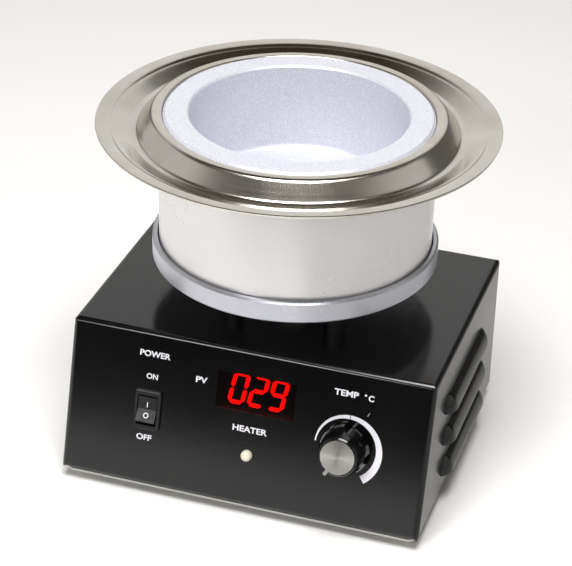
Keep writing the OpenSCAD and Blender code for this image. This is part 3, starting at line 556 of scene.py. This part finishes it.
def dish_profile():
    """Spun dish: ledge, well wall, rounded collar, trough, rise, step and rolled flange."""
    curved = arc(COLLAR_R - 1.2, COLLAR_Z - 3, 3, 90, 42, 8)
    curved += arc(TROUGH_R + 0.9, TROUGH_Z + 2.4, 2.4, 222, 270, 8)
    curved += arc(TROUGH_R + 2, TROUGH_Z + 3, 3, 275, 290, 3)
    curved += [Vector((STEP_R - 2.4, FLANGE_Z - 0.9)), Vector((STEP_R - 1.2, FLANGE_Z - 0.75))]
    curved += [Vector((STEP_R, FLANGE_Z))]
    curved += [Vector((DISH_R - 0.5, FLANGE_Z + 0.3)), Vector((DISH_R, FLANGE_Z + 0.1))]
    top = [Vector((WELL_R, LEDGE_Z)), Vector((WELL_R, COLLAR_Z - 0.8))]
    top += arc(WELL_R + 0.8, COLLAR_Z - 0.8, 0.8, 180, 90, 4)
    top += smooth(curved, 2)
    return [Vector((WELL_R - 5, LEDGE_Z))] + top + thicken(top[1:], DISH_T) + [
        Vector((WELL_R + DISH_T, LEDGE_Z - DISH_T)),
        Vector((WELL_R - 5, LEDGE_Z - DISH_T)),
    ]


dish = lathe("spun_drip_dish", dish_profile(), SPUN, "root")
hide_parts("drip_dish")

# Panel printing ----------------------------------------------------------------------------

lettering("print_power", "POWER", -43.9, 62.3, 0, 14.4, 2.8, INK)
lettering("print_on", "ON", -44.4, 51.9, 0, 5.4, 2.6, INK)
lettering("print_off", "OFF", -45.7, 23.0, 0, 7.2, 2.8, INK)
lettering("print_pv", "PV", -21.3, 54.9, 0, 5.4, 2.8, INK)
lettering("print_heater", "HEATER", 3.1, 36.4, 0, 16.0, 2.8, INK)
lettering("print_temp", "TEMP", 44.8, 61.9, 0, 11.0, 2.8, INK)
lettering("print_unit", "C", 56.0, 61.6, 0, 2.4, 2.8, INK)


# The rocker's two faces meet at a shallow angle, and the whole rocker is tilted at rest
SWITCH_U = -44.9
SWITCH_V = 36.3
ROCKER_TILT = 9
ROCKER_FACE = math.degrees(math.atan2(1.3, 7.7))


def rocker_matrix(v, angle, lift):
    """Places print on a rocker face: v along it from the pivot, lift square to it."""
    pivot = on_panel(SWITCH_U, SWITCH_V, -1)
    tilt = math.radians(angle)
    along = PANEL_V * math.cos(tilt) + PANEL_W * math.sin(tilt)
    outward = PANEL_W * math.cos(tilt) - PANEL_V * math.sin(tilt)
    base = Matrix((PANEL_U, along, outward)).transposed().to_4x4()
    base.translation = (pivot + along * v + outward * lift) * MM
    return base


def ring_plate(r, thick, count):
    """Quarter strips that make up a printed ring."""
    strips = []
    hole = r - thick
    for start in range(4):
        turn = [2 * math.pi * (start / 4 + i / (4 * count)) for i in range(count + 1)]
        outer = [(r * math.cos(t), r * math.sin(t)) for t in turn]
        inner = [(hole * math.cos(t), hole * math.sin(t)) for t in reversed(turn)]
        strips.append(outer + inner)
    return strips


UPPER = ROCKER_FACE - ROCKER_TILT
LOWER = -ROCKER_FACE - ROCKER_TILT
LIFT = 2.6 * math.cos(math.radians(ROCKER_FACE)) + 0.01
BAR = [(-0.2, -1.2), (0.2, -1.2), (0.2, 1.2), (-0.2, 1.2)]
BAR_V = 2.6  # from the pivot to the middle of each mark
RING_V = -3.2
for name, outlines, matrix in (
    ("print_bar", [BAR], rocker_matrix(BAR_V, UPPER, LIFT)),
    ("print_ring", ring_plate(1.25, 0.4, 8), rocker_matrix(RING_V, LOWER, LIFT)),
):
    flat(name, outlines, PRINT_T, matrix, INK, "power_rocker")


def circle(cx, cy, r, count=24):
    """Outline of a disc."""
    turns = [2 * math.pi * i / count for i in range(count)]
    return [(cx + r * math.cos(t), cy + r * math.sin(t)) for t in turns]


flat("print_degree", [circle(0, 0, 0.5)], PRINT_T, panel_matrix(53.4, 62.6, 0), INK, "root")

DIAL_R = 13.7
DIAL_THIN = 0.6
DIAL_THICK = 3.6
DIAL_FROM = 176
DIAL_TO = -56
DIAL_SPLIT = 88


def crescent(start, end, steps):
    """Part of the dial's band: constant inside, wider clockwise."""
    inner, outer = [], []
    for i in range(steps + 1):
        angle = start + (end - start) * i / steps
        share = (DIAL_FROM - angle) / (DIAL_FROM - DIAL_TO)
        width = DIAL_THIN + (DIAL_THICK - DIAL_THIN) * share
        a = math.radians(angle)
        inner.append((DIAL_R * math.cos(a), DIAL_R * math.sin(a)))
        outer.append(((DIAL_R + width) * math.cos(a), (DIAL_R + width) * math.sin(a)))
    return inner + list(reversed(outer))


flat(
    "print_dial",
    [crescent(DIAL_FROM, DIAL_SPLIT + 0.6, 48), crescent(DIAL_SPLIT - 0.6, DIAL_TO, 72)],
    PRINT_T,
    panel_matrix(KNOB_U, KNOB_V, 0),
    INK,
    "root",
)
flat(
    "print_tick",
    [[(18.2, -0.2), (20.2, -0.2), (20.2, 0.2), (18.2, 0.2)]],
    PRINT_T,
    panel_matrix(KNOB_U, KNOB_V, 0, math.radians(64)),
    INK_FAINT,
    "root",
)

# Display digits ----------------------------------------------------------------------------

DIGIT_H = 15.2
DIGIT_W = 7.9
DIGIT_STEP = 9.1
DIGIT_LEAN = math.tan(math.radians(9))
STROKE = 1.9
SEGMENT_GAP = 0.16  # from a segment's point to the corner where two meet
SEGMENTS = {
    "a": ((0, 1), (1, 1)),
    "b": ((1, 1), (1, 0.5)),
    "c": ((1, 0.5), (1, 0)),
    "d": ((0, 0), (1, 0)),
    "e": ((0, 0.5), (0, 0)),
    "f": ((0, 1), (0, 0.5)),
    "g": ((0, 0.5), (1, 0.5)),
}
LIT_SEGMENTS = {"0": "abcdef", "2": "abged", "9": "abcdfg"}


def segment(key):
    """Outline of one segment of a digit, pointed at its ends."""
    (x0, y0), (x1, y1) = SEGMENTS[key]
    inner_w, inner_h = DIGIT_W - STROKE, DIGIT_H - STROKE
    a = Vector(((x0 - 0.5) * inner_w, (y0 - 0.5) * inner_h))
    b = Vector(((x1 - 0.5) * inner_w, (y1 - 0.5) * inner_h))
    run = (b - a).normalized()
    side = Vector((-run.y, run.x)) * STROKE / 2
    gap = run * SEGMENT_GAP
    nose = run * STROKE / 2
    shape = [
        a + gap,
        a + nose + side + gap,
        b - nose + side - gap,
        b - gap,
        b - nose - side - gap,
        a + nose - side + gap,
    ]
    return [(p.x + p.y * DIGIT_LEAN, p.y) for p in shape]


face_low, face_high = box_mm("display_module")
window_u = (face_low.x + face_high.x) / 2
WINDOW_V = 52.6
SEGMENT_T = 0.12
FACE_W = -1.2 - 2 - 0.3  # face of the display block against the panel's face


def digits(name, text, lit, mat):
    """All lit, or all unlit, segments of the display."""
    outlines = []
    for i, figure in enumerate(text):
        shift = (i - 1) * DIGIT_STEP
        for key in SEGMENTS:
            if (key in LIT_SEGMENTS[figure]) == lit:
                outlines.append([(x + shift, y) for x, y in segment(key)])
    place = panel_matrix(window_u + 0.4, WINDOW_V + 1.2, FACE_W + 0.02)
    return flat(name, outlines, SEGMENT_T, place, mat, "root")


digits("display_lit", "029", True, LIT)
digits("display_unlit", "029", False, UNLIT)

# ---- studio -------------------------------------------------------------------------------


def stage_plane(name, size, mat):
    """Floor that curves up behind the object."""
    bm = bmesh.new()
    rows = [(-size, 0.0), (size * 0.55, 0.0)]
    bend = 0.6
    for i in range(1, 13):
        a = math.radians(i * 7.5)
        rows.append((size * 0.55 + bend * math.sin(a), bend * (1 - math.cos(a))))
    rows.append((size * 0.55 + bend, bend + 2.5))
    grid = [[bm.verts.new((x, y, z)) for x in (-size, size)] for y, z in rows]
    for a, b in zip(grid, grid[1:]):
        bm.faces.new((a[0], a[1], b[1], b[0]))
    for face in bm.faces:
        face.smooth = True
    mesh = bpy.data.meshes.new(name)
    bm.to_mesh(mesh)
    bm.free()
    mesh.materials.append(mat)
    obj = bpy.data.objects.new(name, mesh)
    bpy.context.scene.collection.objects.link(obj)
    return obj


def softbox(name, place, target, width, height, power, colour="#ffffff"):
    """A rectangular studio lamp aimed at a point."""
    light = bpy.data.lights.new(name, "AREA")
    light.shape = "RECTANGLE"
    light.size = width
    light.size_y = height
    light.energy = power
    light.color = linear(colour)[:3]
    obj = bpy.data.objects.new(name, light)
    obj.location = place
    obj.rotation_euler = (Vector(target) - Vector(place)).to_track_quat("-Z", "Y").to_euler()
    bpy.context.scene.collection.objects.link(obj)
    return obj


floor_mat, floor_tree, floor_bsdf = material("paper_sweep", "#f4f3f1", Roughness=0.8)
bump(floor_tree, floor_bsdf, noise(floor_tree, millimetres(floor_tree), 2, 2), 0.01)
# painted shade in reflections: gloss sees the near end of the paper and its right side painted dark,
# while the camera sees the paper evenly pale
gloss_ray = add(floor_tree, "ShaderNodeLightPath").outputs["Is Glossy Ray"]
paper = add(floor_tree, "ShaderNodeSeparateXYZ", {0: millimetres(floor_tree)})
# painted dark reflection at the paper's near end, seen only by gloss
painted_shade_near_end = ramp(floor_tree, paper.outputs["Y"], -500, -250, 1, 0)
# painted shadow on the paper beside the object's right side, seen only by gloss
painted_shade_right_side = ramp(floor_tree, paper.outputs["X"], 80, 115, 0, 0.45)
painted_shade = add(floor_tree, "ShaderNodeMath", {0: painted_shade_near_end, 1: painted_shade_right_side}, operation="MAXIMUM").outputs[0]
painted_shade_in_gloss = add(floor_tree, "ShaderNodeMath", {0: painted_shade, 1: gloss_ray}, operation="MULTIPLY").outputs[0]
floor_tree.links.new(blend(floor_tree, painted_shade_in_gloss, "#f4f3f1", "#2b2724"), floor_bsdf.inputs["Base Color"])
stage_plane("paper_floor", 4.0, floor_mat)

world = bpy.data.worlds.new("studio")
bpy.context.scene.world = world
world.use_nodes = True
sky = world.node_tree
sky.nodes.clear()
direction = add(sky, "ShaderNodeTexCoord").outputs["Generated"]
axes = add(sky, "ShaderNodeSeparateXYZ", {0: direction})
# pale walls up to head height, a dark brown ceiling, and a dim near side
height = ramp(sky, axes.outputs["Z"], 0.58, 0.76, 0, 1)
near = ramp(sky, axes.outputs["Y"], -0.75, -0.25, 1, 0)
walls = blend(sky, near, "#d4d2cd", "#4e463f")
room = blend(sky, height, walls, "#33291f")
ray = add(sky, "ShaderNodeLightPath").outputs["Is Camera Ray"]
seen = blend(sky, ray, room, "#ffffff")
background = add(sky, "ShaderNodeBackground", {"Color": seen}, Strength=1.0)
out = sky.nodes.new("ShaderNodeOutputWorld")
sky.links.new(background.outputs[0], out.inputs["Surface"])

softbox("overhead", (0.08, -0.34, 1.25), (0, 0, 0.16), 0.7, 0.6, 19)
softbox("front_left", (-0.35, -1.1, 0.72), (0, 0, 0.1), 0.3, 0.3, 3.5)
softbox("far_wall", (-0.45, 1.7, 0.95), (0, 0, 0.12), 2.0, 1.1, 4.6)

# ---- camera -------------------------------------------------------------------------------

YAW = math.radians(16.92)
PITCH = math.radians(29.10)
ROLL = math.radians(1.88)
DISTANCE = 982.2
target = Vector((0, 0, case_high.z + 20))
ahead = Vector((-math.sin(YAW) * math.cos(PITCH), math.cos(YAW) * math.cos(PITCH), -math.sin(PITCH)))
across = Vector((math.cos(YAW), math.sin(YAW), 0))
upward = across.cross(ahead)
across, upward = (
    across * math.cos(ROLL) + upward * math.sin(ROLL),
    upward * math.cos(ROLL) - across * math.sin(ROLL),
)
lens = bpy.data.cameras.new("camera")
lens.sensor_width = 36
lens.lens = 135.43
lens.shift_x = -0.0159
lens.shift_y = -0.0609
lens.clip_start = 0.05
lens.clip_end = 50
camera = bpy.data.objects.new("camera", lens)
camera.matrix_world = Matrix((across, upward, -ahead)).transposed().to_4x4()
camera.location = (target - ahead * DISTANCE) * MM
bpy.context.scene.collection.objects.link(camera)
bpy.context.scene.camera = camera
bpy.context.scene.view_settings.view_transform = "Standard"
